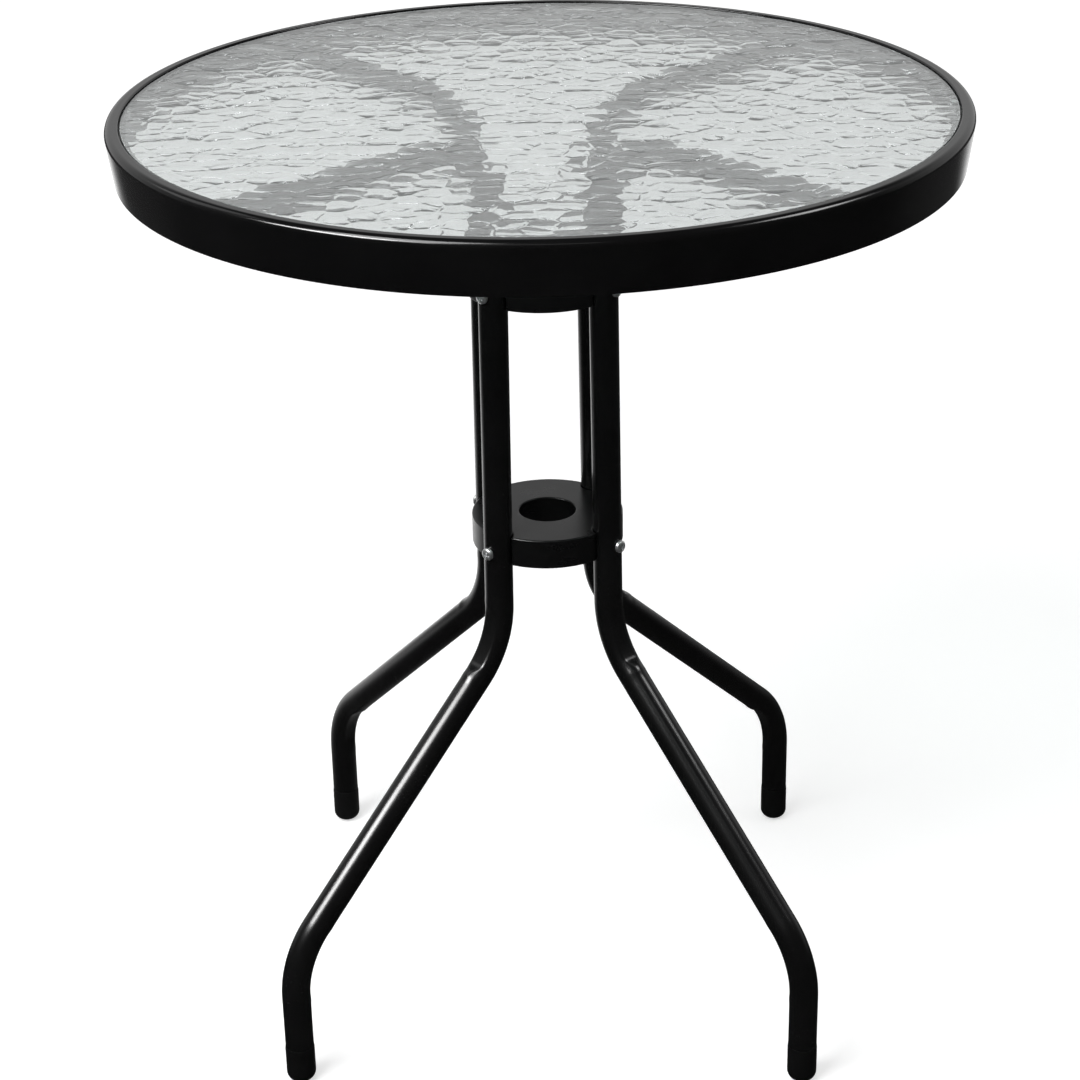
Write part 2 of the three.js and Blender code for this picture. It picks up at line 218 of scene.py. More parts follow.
class Graph:
    """A node tree with one method that adds any node."""

    def __init__(self, tree: NodeTree) -> None:
        tree.nodes.clear()
        self.tree = tree

    def node(self, kind: str, sockets: Mapping[str | int, Feed] | None = None, **settings: object) -> Node:
        """Adds a node.

        Args:
            kind: the node's type.
            sockets: what its inputs get, by name or number.
            settings: its own properties.

        Returns:
            The node.
        """
        made = self.tree.nodes.new(kind)
        for name, setting in settings.items():
            setattr(made, name, setting)
        for key, feed in (sockets or {}).items():
            self.feed(made.inputs[key], feed)
        return made

    def feed(self, socket: NodeSocket, feed: Feed) -> None:
        """Gives an input a number, a colour or a link; a node stands for its first output."""
        if isinstance(feed, Node):
            feed = feed.outputs[0]
        elif isinstance(feed, Value):
            feed = feed.socket
        if isinstance(feed, NodeSocket):
            self.tree.links.new(feed, socket)
        else:
            socket.default_value = feed

    def value(self, source: Node | NodeSocket) -> Value:
        """A socket, or a node's first output, as a value to reckon with."""
        return Value(self, source.outputs[0] if isinstance(source, Node) else source)

    def math(self, operation: str, *operands: Value | float) -> Value:
        """A Math node on numbers and values."""
        return self.value(self.node("ShaderNodeMath", dict(enumerate(operands)), operation=operation))

    def vector(self, operation: str, *operands: Feed) -> Node:
        """A Vector Math node; its output 1 is the number that a dot product or length gives."""
        return self.node("ShaderNodeVectorMath", dict(enumerate(operands)), operation=operation)

    def scaled(self, direction: Feed, share: Value | float) -> Node:
        """A vector times a number."""
        return self.node("ShaderNodeVectorMath", {0: direction, "Scale": share}, operation="SCALE")

    def axes(self, place: Feed) -> list[Value]:
        """A vector's X, Y and Z."""
        return [self.value(axis) for axis in self.node("ShaderNodeSeparateXYZ", {0: place}).outputs]


@dataclass(frozen=True)
class Ripple:
    """The glass's rolled pattern: shallow pillows, and a soft groove where they meet."""

    cell: float = 16.5
    stretch: tuple[float, float, float] = (0.92, 1.04, 1.0)
    scatter: float = 0.85
    # Each drift of the pattern: its fineness beside the cells', and its reach in millimetres.
    drifts: tuple[Point, Point] = ((0.7, 5.5), (1.9, 1.7))
    softness: float = 0.3
    bow: float = 0.15
    groove: float = 0.12
    groove_width: float = 1.7

    def field(self, g: Graph, place: NodeSocket) -> tuple[Value, Value]:
        """Draws the pattern in a tree.

        Args:
            g: the tree.
            place: the point in question, in metres.

        Returns:
            The pillows' height and the grooves' depth there, in millimetres.
        """
        scale = 1 / (self.cell * MM)
        bent = place
        for fineness, reach in self.drifts:
            drift = g.node("ShaderNodeTexNoise", {"Vector": place, "Scale": scale * fineness, "Detail": 0.0})
            even = g.vector("ADD", drift.outputs["Color"], (-0.5, -0.5, -0.5))
            bent = g.vector("ADD", bent, g.scaled(even, 2 * reach * MM))
        drawn = g.vector("MULTIPLY", bent, self.stretch)
        cells = {"Vector": drawn, "Scale": scale, "Randomness": self.scatter}
        flat = {"voronoi_dimensions": "2D"}
        soft = {**cells, "Smoothness": self.softness}
        near = g.node("ShaderNodeTexVoronoi", soft, **flat, feature="SMOOTH_F1")
        edge = g.node("ShaderNodeTexVoronoi", cells, **flat, feature="DISTANCE_TO_EDGE")
        away = g.value(near) * 2
        patchy = g.node("ShaderNodeTexNoise", {"Vector": place, "Scale": scale * 1.4, "Detail": 1.0})
        depth = g.value(patchy).ramp(0.3, 0.65, 0.45, 1.3)
        gone = g.value(edge) * (self.cell / self.groove_width)
        cut = g.math("POWER", math.e, -(gone * gone)) * depth
        return away * away * -self.bow, cut * self.groove


class Surface(Graph):
    """A material's node tree, with the few parts that every finish here uses."""

    def __init__(self, name: str) -> None:
        self.material = bpy.data.materials.new(name)
        self.material.use_nodes = True
        super().__init__(self.material.node_tree)
        self.place = self.node("ShaderNodeTexCoord").outputs["Object"]

    def noise(self, size: float, detail: float = 2.0, stretch: Sequence[float] = (1, 1, 1)) -> Value:
        """Noise between 0 and 1 whose blotches are about size millimetres across.

        Args:
            size: the blotches' size, in millimetres.
            detail: how many finer layers are added.
            stretch: how many times finer the noise is along X, Y and Z.

        Returns:
            The noise.
        """
        place = self.node("ShaderNodeMapping", {"Vector": self.place, "Scale": stretch})
        sockets = {"Vector": place, "Scale": 1 / (size * MM), "Detail": detail}
        return self.value(self.node("ShaderNodeTexNoise", sockets))

    def cells(self, size: float) -> Value:
        """Distance to the nearest of scattered grains about size millimetres apart."""
        return self.value(self.node("ShaderNodeTexVoronoi", {"Vector": self.place, "Scale": 1 / (size * MM)}))

    def mix(self, share: Value, low: Colour, high: Colour) -> NodeSocket:
        """A colour between low at share 0 and high at share 1."""
        sockets = {0: share, 6: (*low, 1.0), 7: (*high, 1.0)}
        return self.node("ShaderNodeMix", sockets, data_type="RGBA").outputs[2]

    def bump(self, height: Value, depth: float, strength: float = 1.0) -> Node:
        """A normal for a relief that is depth millimetres deep."""
        sockets = {"Strength": strength, "Distance": depth * MM, "Height": height}
        return self.node("ShaderNodeBump", sockets)

    def blend(self, share: Value, first: Node, second: Node) -> Node:
        """The first shader at share 0 and the second at share 1."""
        return self.node("ShaderNodeMixShader", {0: share, 1: first, 2: second})

    def finish(self, shader: Node) -> Material:
        """Wires the last shader to the output and gives back the material."""
        self.node("ShaderNodeOutputMaterial", {"Surface": shader})
        return self.material


class Recipe(Graph):
    """A geometry node tree with named inputs, which turns a mesh into a plain new mesh."""

    def __init__(self, name: str, inputs: Mapping[str, str]) -> None:
        super().__init__(bpy.data.node_groups.new(name, "GeometryNodeTree"))
        faces = self.tree.interface
        faces.new_socket("Geometry", in_out="INPUT", socket_type="NodeSocketGeometry")
        self.identifiers = {}
        for label, kind in inputs.items():
            item = faces.new_socket(label, in_out="INPUT", socket_type=f"NodeSocket{kind}")
            self.identifiers[label] = item.identifier
        faces.new_socket("Geometry", in_out="OUTPUT", socket_type="NodeSocketGeometry")
        self.given = self.node("NodeGroupInput").outputs

    def attribute(self, name: str, kind: str = "FLOAT") -> Node:
        """A named attribute of the geometry."""
        return self.node("GeometryNodeInputNamedAttribute", {"Name": name}, data_type=kind)

    def end(self, geometry: Node) -> None:
        """Wires the finished geometry, with its material set, to the output."""
        sockets = {"Geometry": geometry, "Material": self.given["Material"]}
        self.node("NodeGroupOutput", {0: self.node("GeometryNodeSetMaterial", sockets)})

    def make(self, name: str, start: Mesh, values: Mapping[str, object]) -> Object:
        """Runs the tree on a mesh.

        Args:
            name: the new piece's name.
            start: the mesh that goes in.
            values: what the named inputs get.

        Returns:
            A plain mesh object at the origin, with no modifier.
        """
        carrier = place_object(f"{name}_start", start)
        modifier = carrier.modifiers.new(self.tree.name, "NODES")
        modifier.node_group = self.tree
        for label, setting in values.items():
            modifier[self.identifiers[label]] = setting
        mesh = evaluated(carrier)
        carrier.modifiers.remove(modifier)
        bpy.data.objects.remove(carrier)
        mesh.name = name
        return place_object(name, mesh)


# --------------------------------------------------------------------------- meshes


def place_object(name: str, data: ID) -> Object:
    """Puts a mesh, lamp or camera in the scene, at the origin."""
    made = bpy.data.objects.new(name, data)
    bpy.context.scene.collection.objects.link(made)
    return made


def evaluated(made: Object) -> Mesh:
    """A new mesh of an object as its modifiers leave it."""
    depsgraph = bpy.context.evaluated_depsgraph_get()
    return bpy.data.meshes.new_from_object(
        made.evaluated_get(depsgraph), preserve_all_data_layers=True, depsgraph=depsgraph
    )


def mesh_of(name: str, points: Iterable[Sequence[float]], faces: Sequence = (), edges: Sequence = ()) -> Mesh:
    """Makes a mesh from points in millimetres, and faces or edges that number them."""
    made = bpy.data.meshes.new(name)
    made.from_pydata((np.array(points) * MM).tolist(), list(edges), list(faces))
    return made


def shade(mesh: Mesh, crease: float) -> None:
    """Shades a mesh smooth, but for its edges past the crease angle in degrees."""
    mesh.shade_smooth()
    mesh.set_sharp_from_angle(angle=math.radians(crease))


def quads(low: int, high: int, count: int) -> list[tuple[int, ...]]:
    """The faces between two loops of count points, each given by the number of its first point."""
    pairs = [(i, (i + 1) % count) for i in range(count)]
    return [(low + i, low + j, high + j, high + i) for i, j in pairs]


def store(mesh: Mesh, name: str, rows: Sequence) -> None:
    """Gives a mesh's points a named attribute: a number or a vector for each."""
    table = np.array(rows, dtype=np.float32)
    kind, key = ("FLOAT_VECTOR", "vector") if table.ndim > 1 else ("FLOAT", "value")
    mesh.attributes.new(name, kind, "POINT").data.foreach_set(key, table.ravel())


def arc(middle: Point, radius: float, start: float, end: float, steps: int) -> list[Point]:
    """Points on an arc.

    Args:
        middle: the arc's centre.
        radius: its radius.
        start: the angle of its first point, in degrees.
        end: the angle of its last point, in degrees.
        steps: how many stretches it has.

    Returns:
        The points, from start to end.
    """
    angles = [math.radians(start + (end - start) * i / steps) for i in range(steps + 1)]
    return [(middle[0] + radius * math.cos(a), middle[1] + radius * math.sin(a)) for a in angles]


def rings(profile: Iterable[Point], segments: int) -> Loops:
    """A profile of (radius, height) points turned about the Z axis, as one loop for each point."""
    angles = np.arange(segments) * TURN / segments
    across, along = np.cos(angles), np.sin(angles)
    return [np.column_stack([r * across, r * along, np.full(segments, z)]) for r, z in profile]


class Shell:
    """A mesh in the making, of closed skins over loops of points, in millimetres."""

    # How far the loops that keep a flat face flat lie from its edges, in millimetres.
    margin: float = 0.35
    # The angle in degrees past which an edge stays sharp.
    crease: float = 32.0

    def __init__(self) -> None:
        self.points: list[np.ndarray] = []
        self.faces: list[tuple[int, ...]] = []
        self.count = 0

    def _add(self, points: np.ndarray) -> int:
        """Adds points and gives back the number of the first."""
        first = self.count
        self.points.append(points)
        self.count += len(points)
        return first

    def _held(self, loops: Loops) -> Loops:
        """Adds a loop close to each end of a long stretch, so that flat faces shade flat."""
        kept = []
        for low, high in zip(loops, loops[1:]):
            kept.append(low)
            length = np.linalg.norm(high - low, axis=1)
            if length.min() > 3 * self.margin:
                step = (high - low) * (self.margin / length)[:, None]
                kept += [low + step, high - step]
        return [*kept, loops[-1]]

    def _skin(self, loops: Loops, closed: bool) -> list[int]:
        """Adds loops and the quads between them, and gives back the number of each loop's first point."""
        starts = [self._add(loop) for loop in loops]
        following = [*starts[1:], starts[0]] if closed else starts[1:]
        for low, high in zip(starts, following):
            self.faces += quads(low, high, len(loops[0]))
        return starts

    def ring_skin(self, loops: Loops) -> "Shell":
        """Adds a skin whose last loop joins its first, such as a tube's wall or a rim."""
        self._skin(self._held([*loops, loops[0]])[:-1], closed=True)
        return self

    def capped_skin(self, loops: Loops) -> "Shell":
        """Adds a skin that is closed at both ends by a fan to the middle of the end loop."""
        starts = self._skin(self._held(loops), closed=False)
        count = len(loops[0])
        first = self._add(loops[0].mean(axis=0)[None])
        last = self._add(loops[-1].mean(axis=0)[None])
        for i in range(count):
            j = (i + 1) % count
            self.faces.append((first, starts[0] + j, starts[0] + i))
            self.faces.append((last, starts[-1] + i, starts[-1] + j))
        return self

    def moved(self, matrix: Matrix) -> "Shell":
        """Moves every point so far by a matrix whose shifts are in millimetres."""
        turn = np.array(matrix.to_3x3())
        shift = np.array(matrix.to_translation())
        self.points = [points @ turn.T + shift for points in self.points]
        return self

    def joined(self, other: "Shell") -> "Shell":
        """Adds another shell's skins to this one."""
        first = self._add(np.concatenate(other.points))
        self.faces += [tuple(first + i for i in face) for face in other.faces]
        return self

    def piece(self, name: str) -> Object:
        """Makes the mesh and puts it in the scene."""
        made = mesh_of(name, np.concatenate(self.points), self.faces)
        shade(made, self.crease)
        return place_object(name, made)


def block(corners: Callable[[int], Sequence[Point]], heights: Sequence[float]) -> Shell:
    """A closed block over one four-sided loop of corners for each height."""
    loops = [np.array([(x, y, z) for x, y in corners(k)]) for k, z in enumerate(heights)]
    return Shell().capped_skin(loops)


def dressed(made: Object, material: Material | None, slot: str, *nodes: str) -> None:
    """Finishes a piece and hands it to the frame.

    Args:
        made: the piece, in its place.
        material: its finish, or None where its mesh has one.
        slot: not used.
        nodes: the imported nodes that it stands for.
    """
    if material is not None:
        made.data.materials.append(material)
    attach(made, BODY)
    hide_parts(*nodes)
    log.info("%s: %d faces, for %s", made.name, len(made.data.polygons), ", ".join(nodes))


def set_out(
    name: str,
    shape: Object,
    spots: Sequence[tuple[Sequence[float], Matrix]],
    material: Material,
) -> Object:
    """Sets copies of a shape on points, by geometry nodes, and removes the shape.

    Args:
        name: the new piece's name.
        shape: what is copied, drawn round the origin.
        spots: where each copy stands, in millimetres, and how it is turned.
        material: the copies' finish.

    Returns:
        The piece with all copies.
    """
    g = Recipe("set_on_points", {"Shape": "Object", "Material": "Material"})
    copied = g.node("GeometryNodeObjectInfo", {"Object": g.given["Shape"]}).outputs["Geometry"]
    turn = g.node("FunctionNodeEulerToRotation", {0: g.attribute("turn", "FLOAT_VECTOR")})
    sockets = {"Points": g.given["Geometry"], "Instance": copied, "Rotation": turn}
    copies = g.node("GeometryNodeInstanceOnPoints", sockets)
    g.end(g.node("GeometryNodeRealizeInstances", {0: copies}))
    start = mesh_of(f"{name}_points", [tuple(spot) for spot, _ in spots])
    store(start, "turn", [tuple(matrix.to_euler("XYZ")) for _, matrix in spots])
    made = g.make(name, start, {"Shape": shape, "Material": material})
    bpy.data.objects.remove(shape)
    return made


# --------------------------------------------------------------------------- finishes


@dataclass(frozen=True)
class Finish:
    """A material made of one Principled shader."""

    name: str

    def sockets(self, s: Surface) -> Mapping[str, Feed]:
        """What the shader's inputs get."""
        raise NotImplementedError

    def material(self) -> Material:
        """Makes the material."""
        s = Surface(self.name)
        return s.finish(s.node("ShaderNodeBsdfPrincipled", self.sockets(s)))


@dataclass(frozen=True)
class PowderCoat(Finish):
    """Black powder coat on steel: an even gloss with a very fine orange peel."""

    roughness: float
    gloss: float = 0.5
    black: Colour = (0.0034, 0.0034, 0.0036)
    worn: Colour = (0.0050, 0.0050, 0.0052)

    def sockets(self, s: Surface) -> Mapping[str, Feed]:
        """What the shader's inputs get."""
        clouds = s.noise(60, 4.0)
        dust = s.noise(2.2, 5.0).ramp(0.62, 0.74)
        tone = clouds.ramp(0.35, 0.7) * 0.85 + dust * 0.15
        return {
            "Base Color": s.mix(tone, self.black, self.worn),
            "Roughness": self.roughness + (clouds - 0.5) * 0.10 + dust * 0.03,
            "Specular IOR Level": self.gloss,
            "Normal": s.bump(s.noise(1.1, 1.0), 0.03, 0.5),
        }


@dataclass(frozen=True)
class MouldedPlastic(Finish):
    """Black moulded plastic: a fine spark-eroded grain and a satin or matt sheen."""

    roughness: float
    grain: float
    black: Colour
    pale: Colour

    def sockets(self, s: Surface) -> Mapping[str, Feed]:
        """What the shader's inputs get."""
        grain = s.cells(0.55) * 0.6 + s.noise(0.35) * 0.4
        flow = s.noise(22, 3.0, (1.0, 1.0, 2.5))
        scuff = s.noise(3.0, 6.0).ramp(0.60, 0.75)
        return {
            "Base Color": s.mix(flow * 0.5 + scuff * 0.5, self.black, self.pale),
            "Roughness": self.roughness + (flow - 0.5) * 0.12 + scuff * 0.06,
            "Normal": s.bump(grain, self.grain, 0.7),
        }


@dataclass(frozen=True)
class ZincPlate(Finish):
    """Bright zinc plate: silver metal with a faint bloom."""

    silver: Colour = (0.80, 0.81, 0.82)
    bloom: Colour = (0.66, 0.66, 0.64)

    def sockets(self, s: Surface) -> Mapping[str, Feed]:
        """What the shader's inputs get."""
        cloud = s.noise(3.0, 4.0)
        return {
            "Base Color": s.mix(cloud.ramp(0.4, 0.75), self.silver, self.bloom),
            "Metallic": 0.92,
            "Roughness": 0.24 + cloud * 0.16,
            "Normal": s.bump(s.noise(0.3, 3.0), 0.02, 0.4),
        }


@dataclass(frozen=True)
class ClearPad(Finish):
    """Clear soft plastic of the small pads under the glass."""

    tint: Colour = (0.86, 0.88, 0.87)

    def sockets(self, s: Surface) -> Mapping[str, Feed]:
        """What the shader's inputs get."""
        return {
            "Base Color": (*self.tint, 1.0),
            "Roughness": 0.25 + s.noise(2.0, 3.0) * 0.2,
            "IOR": 1.41,
            "Transmission Weight": 0.85,
        }


@dataclass(frozen=True)
class ClearGlass(Finish):
    """Clear tempered glass, faintly green, that lets the lamps through to what is under it."""

    ripple: Ripple = Ripple()
    # The tint is darker than the glass's own faint green: it also paints in the shade of the dimmer floor
    # seen through the glass.
    tint: Colour = (0.79, 0.83, 0.825)
    shade: Colour = (0.78, 0.83, 0.82)

    def sockets(self, s: Surface) -> Mapping[str, Feed]:
        """What the shader's inputs get; the grooves are cut in the top face only."""
        height = s.axes(s.place)[2]
        upper = height.ramp((SIZES.glass_bottom + 1) * MM, (SIZES.glass_top - 2) * MM)
        _, grooves = self.ripple.field(s, s.place)
        relief = (s.noise(4.5) * 0.012 - grooves) * upper
        return {
            "Base Color": (*self.tint, 1.0),
            "Roughness": s.noise(35, 5.0, (1.0, 0.5, 1.0)).ramp(0.55, 0.8) * 0.03,
            "IOR": 1.52,
            "Transmission Weight": 0.96,
            "Coat Weight": 0.45,
            "Coat Roughness": 0.02,
            "Normal": s.bump(relief, 1.0),
        }

    def material(self) -> Material:
        """Makes the material, plainly tinted for shadows and scattered light."""
        s = Surface(self.name)
        glass = s.node("ShaderNodeBsdfPrincipled", self.sockets(s))
        lamps = s.node("ShaderNodeBsdfTransparent", {"Color": (*self.shade, 1.0)})
        path = s.node("ShaderNodeLightPath").outputs
        shadow, diffuse = s.value(path["Is Shadow Ray"]), s.value(path["Is Diffuse Ray"])
        return s.finish(s.blend(shadow.at_least(diffuse), glass, lamps))


# --------------------------------------------------------------------------- sub-assemblies


@dataclass
class Rim:
    """The roll-formed rim, and the flat ledge welded inside it."""

    finish: Finish
    segments: int = 320
    edge_round: float = 0.45
    lip_round: float = 1.1
    lip_bottom: float = 682.9

    def profile(self) -> list[Point]:
        """The strip's section: up the skirt, over the top, down the lip and back inside.

        Returns:
            The section's points, each a radius and a height.
        """
        s = SIZES
        q, lip_q = self.edge_round, self.lip_round
        corner = (s.rim_radius - s.corner_radius, s.height - s.corner_radius)
        low = s.height - s.skirt_height + q
        foot = s.rim_radius - s.skirt_taper
        lip = s.rim_radius - s.top_width
        under = s.height - s.sheet
        points = arc((foot - q, low), q, -90, 0, 3)
        points += arc(corner, s.corner_radius, 0, 90, 12)
        points += arc((lip + lip_q, s.height - lip_q), lip_q, 90, 180, 5)
        points += arc((lip + q, self.lip_bottom + q), q, 180, 270, 3)
        points += arc((lip + s.sheet - q, self.lip_bottom + q), q, 270, 360, 3)
        points += [(lip + s.sheet, under - q), (lip + s.sheet + q, under)]
        points += arc(corner, s.corner_radius - s.sheet, 90, 0, 6)
        return points + arc((foot - s.sheet + q, low), q, 180, 270, 3)

    def ledge_profile(self) -> list[Point]:
        """The ledge's section, with its rolled edges."""
        s = SIZES
        q = self.edge_round
        inner = s.rim_radius - s.top_width - s.seen_ledge + q
        outer = s.skirt_inner_radius(s.ledge_bottom) - s.gap - q
        low, high = s.ledge_bottom + q, s.ledge_bottom + s.sheet - q
        corners = [(outer, low), (outer, high), (inner, high), (inner, low)]
        return [p for k, corner in enumerate(corners) for p in arc(corner, q, 90 * k - 90, 90 * k, 3)]

    def build(self) -> None:
        """Makes both pieces."""
        material = self.finish.material()
        for name, node, section in (
            ("rim_strip", "rim_frame", self.profile()),
            ("rim_ledge", "ledge_ring", self.ledge_profile()),
        ):
            shell = Shell().ring_skin(rings(section, self.segments))
            dressed(shell.piece(name), material, "rim_paint", node)


@dataclass
class GlassTop:
    """The round glass with its ripple relief, and the clear pads that it lies on."""

    finish: ClearGlass
    pad_finish: Finish
    ring_count: int = 150
    edge_round: float = 0.8
    hem: float = 0.4
    fade: float = 4.0
    pads: int = 8
    pad_radius: float = 1.7
    pad_height: float = 0.8
    pad_shift: float = 0.8
    crease: float = 40.0

    def build(self) -> None:
        """Makes the glass and its pads."""
        values = {"Full Depth": 1.0, "Material": self.finish.material()}
        glass = self.relief_recipe().make("glass_sheet", self.flat_sheet(), values)
        shade(glass.data, self.crease)
        dressed(glass, None, "ripple_glass", "glass_top")
        self.build_pads()

    def flat_sheet(self) -> Mesh:
        """The sheet before its relief: an even mesh of near-equilateral triangles on top.

        Returns:
            The mesh, with a "relief" attribute that is 1 where the relief is full.
        """
        s = SIZES
        q, top, low = self.edge_round, s.glass_top, s.glass_bottom
        flat_radius = s.glass_radius - q
        points, weight, starts = [(0.0, 0.0, top)], [1.0], [0]
        faces: list[tuple[int, ...]] = []
        for k in range(1, self.ring_count + 1):
            starts.append(len(points))
            radius = k * (flat_radius - self.hem) / self.ring_count
            points += [tuple(point) for point in rings([(radius, top)], 6 * k)[0]]
            weight += [min(1.0, (flat_radius - radius) / self.fade)] * (6 * k)
            faces += self.ring_faces(starts[-2], starts[-1], k - 1)
        count = 6 * self.ring_count
        edge = arc((flat_radius, top - q), q, 90, 0, 3) + arc((flat_radius, low + q), q, 0, -90, 3)
        previous = starts[-1]
        for loop in rings([*edge, (flat_radius - self.hem, low)], count):
            first = len(points)
            points += [tuple(point) for point in loop]
            weight += [0.0] * count
            faces += quads(first, previous, count)
            previous = first
        faces.append(tuple(previous + i for i in reversed(range(count))))
        mesh = mesh_of("glass_flat", points, faces)
        store(mesh, "relief", weight)
        return mesh

    @staticmethod
    def ring_faces(inner: int, outer: int, k: int) -> list[tuple[int, ...]]:
        """Triangles between ring k, of 6k points, and the next one.

        Args:
            inner: the number of the inner ring's first point.
            outer: the number of the outer ring's first point.
            k: how many steps the inner ring is from the middle.

        Returns:
            The triangles, facing up.
        """
        few, many = max(6 * k, 1), 6 * (k + 1)
        faces = []
        for sector in range(6):
            for i in range(k + 1):
                a = inner + (sector * k + i) % few
                b = outer + (sector * (k + 1) + i) % many
                c = outer + (sector * (k + 1) + i + 1) % many
                faces.append((a, b, c))
                if i < k:
                    faces.append((a, c, inner + (sector * k + i + 1) % few))
        return faces

    def relief_recipe(self) -> Recipe:
        """The tree that presses the ripple's pillows into the sheet's top."""
        g = Recipe("ripple_relief", {"Full Depth": "Float", "Material": "Material"})
        pillows, _ = self.finish.ripple.field(g, g.node("GeometryNodeInputPosition").outputs[0])
        drop = pillows * g.value(g.given["Full Depth"]) * g.value(g.attribute("relief")) * MM
        offset = g.node("ShaderNodeCombineXYZ", {"Z": drop})
        g.end(g.node("GeometryNodeSetPosition", {"Geometry": g.given["Geometry"], "Offset": offset}))
        return g

    def build_pads(self) -> None:
        """Makes the pads, one domed pad set out round the ledge."""
        s = SIZES
        r, h = self.pad_radius, self.pad_height
        dome = Shell().capped_skin(rings([(r - 0.1, 0), (r, 0.1), (r, h - 0.3), (r - 0.3, h)], 24))
        radius = s.rim_radius - s.top_width - s.seen_ledge / 2 - self.pad_shift
        circle = rings([(radius, s.glass_bottom - s.gap - h)], self.pads)[0]
        spots = [(point, Matrix.Identity(3)) for point in circle]
        made = set_out("glass_pads", dome.piece("pad_shape"), spots, self.pad_finish.material())
        dressed(made, None, "clear_pad", *(f"glass_pad_{i + 1}" for i in range(self.pads)))


@dataclass
class Route:
    """A bent tube's route, point by point, in its own plane of reach and height.

    Each row has the point, the side that its bend turns to, how flat that side is pressed, and
    how far it bulges beside the pressed stretch.
    """

    rows: list[tuple[Vector, Vector, float, float]]
    fine_step: float = 1.5
    fine_count: int = 10
    clearance: float = 2.5
    coarse_step: float = 12.0
    bulge_from_bend: float = 4.0
    bulge_width: float = 3.0
    bend_step: float = 2.0
    blend_length: float = 7.0

    def straight(self, start: Vector, end: Vector, side: Vector) -> None:
        """Adds a straight run's points, closer together where it meets a bend."""
        length = (end - start).length
        fine = [k * self.fine_step for k in range(self.fine_count)]
        clear = fine[-1] + self.clearance
        count = max(2, int((length - 2 * clear) / self.coarse_step))
        middle = list(np.linspace(clear, length - clear, count))
        at_foot = not self.rows
        before = side if at_foot else self.rows[-1][1]
        for along in [*fine, *middle, *[length - k for k in reversed(fine)]]:
            early = along < length / 2
            gone = (min(along, length - along) - self.bulge_from_bend) / self.bulge_width
            bulge = 0.0 if early and at_foot else math.exp(-(gone**2))
            point = start + (end - start) * (along / length)
            self.rows.append((point, before if early else side, 0.0, bulge))

    def bend(self, start: Vector, come: Vector, side: Vector, radius: float, turn: float) -> None:
        """Adds a bend's points.

        Args:
            start: where the bend starts.
            come: the way that the route comes in.
            side: the way to the bend's centre.
            radius: the bend's radius.
            turn: the angle that it turns by.
        """
        steps = math.ceil(radius * turn / self.bend_step)
        for k in range(1, steps):
            a = turn * k / steps
            point = start + come * radius * math.sin(a) + side * radius * (1 - math.cos(a))
            flat = min(1.0, min(a, turn - a) * radius / self.blend_length)
            self.rows.append((point, side * math.cos(a) - come * math.sin(a), flat, 0.0))


